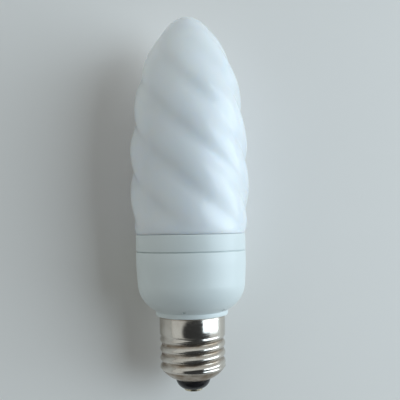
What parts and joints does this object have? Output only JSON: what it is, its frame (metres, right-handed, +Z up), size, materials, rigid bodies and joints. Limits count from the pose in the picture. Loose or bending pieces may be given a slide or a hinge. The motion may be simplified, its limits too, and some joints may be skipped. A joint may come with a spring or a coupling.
{
  "type": "candle energy saving bulb",
  "caption": "Self-ballasted fluorescent lamp with a twisted six-lobed opal glass cover, a white ballast housing and an E27 screw cap, lying on its side.",
  "frame": {"origin": "on the ground, under the middle of the lamp's length and width as it lies on its side", "axes": "+Y from the screw cap towards the glass tip, +Z up, +X to the right of a viewer who looks down with the tip away from them"},
  "size_m": [0.0478, 0.1511, 0.0482],
  "materials": {
    "opal_glass": "satin gloss",
    "white_plastic": "gloss",
    "nickel_plate": "polished",
    "black_glass": "gloss",
    "brass_contact": "satin",
    "solder": "satin",
    "tube_phosphor": "satin",
    "cement": "matte",
    "board_laminate": "matte",
    "ferrite": "matte",
    "copper_wire": "satin",
    "bobbin_plastic": "matte",
    "film_capacitor": "gloss",
    "can_sleeve": "gloss",
    "black_epoxy": "matte",
    "resistor_lacquer": "gloss",
    "diode_glass": "gloss",
    "tinned_wire": "satin"
  },
  "bodies": {
    "root": {"ballast_board": "board_laminate", "ballast_housing": "white_plastic", "base_resistor": "resistor_lacquer", "cap_insulator": "black_glass", "centre_contact": "brass_contact", "choke_bobbin": "bobbin_plastic", "choke_coil": "copper_wire", "choke_core": "ferrite", "contact_solder": "solder", "cover_cement": "cement", "discharge_tube": "tube_phosphor", "drive_ring": "ferrite", "drive_winding_1": "copper_wire", "drive_winding_2": "copper_wire", "drive_winding_3": "copper_wire", "emitter_resistor": "resistor_lacquer", "filament_lead_1": "tinned_wire", "filament_lead_2": "tinned_wire", "filament_lead_3": "tinned_wire", "filament_lead_4": "tinned_wire", "filter_capacitor": "film_capacitor", "fusible_resistor": "resistor_lacquer", "glass_cover": "opal_glass", "line_lead": "tinned_wire", "neutral_lead": "tinned_wire", "power_transistor_1": "black_epoxy", "power_transistor_2": "black_epoxy", "rectifier_diode_1": "black_epoxy", "rectifier_diode_2": "black_epoxy", "rectifier_diode_3": "black_epoxy", "rectifier_diode_4": "black_epoxy", "resonant_capacitor": "film_capacitor", "screw_shell": "nickel_plate", "smoothing_capacitor": "can_sleeve", "start_resistor_1": "resistor_lacquer", "start_resistor_2": "resistor_lacquer", "starting_capacitor": "film_capacitor", "trigger_diode": "diode_glass", "tube_cement": "cement", "tube_holder": "white_plastic", "wire_post_1": "tinned_wire", "wire_post_2": "tinned_wire", "wire_post_3": "tinned_wire", "wire_post_4": "tinned_wire"}
  },
  "joints": []
}
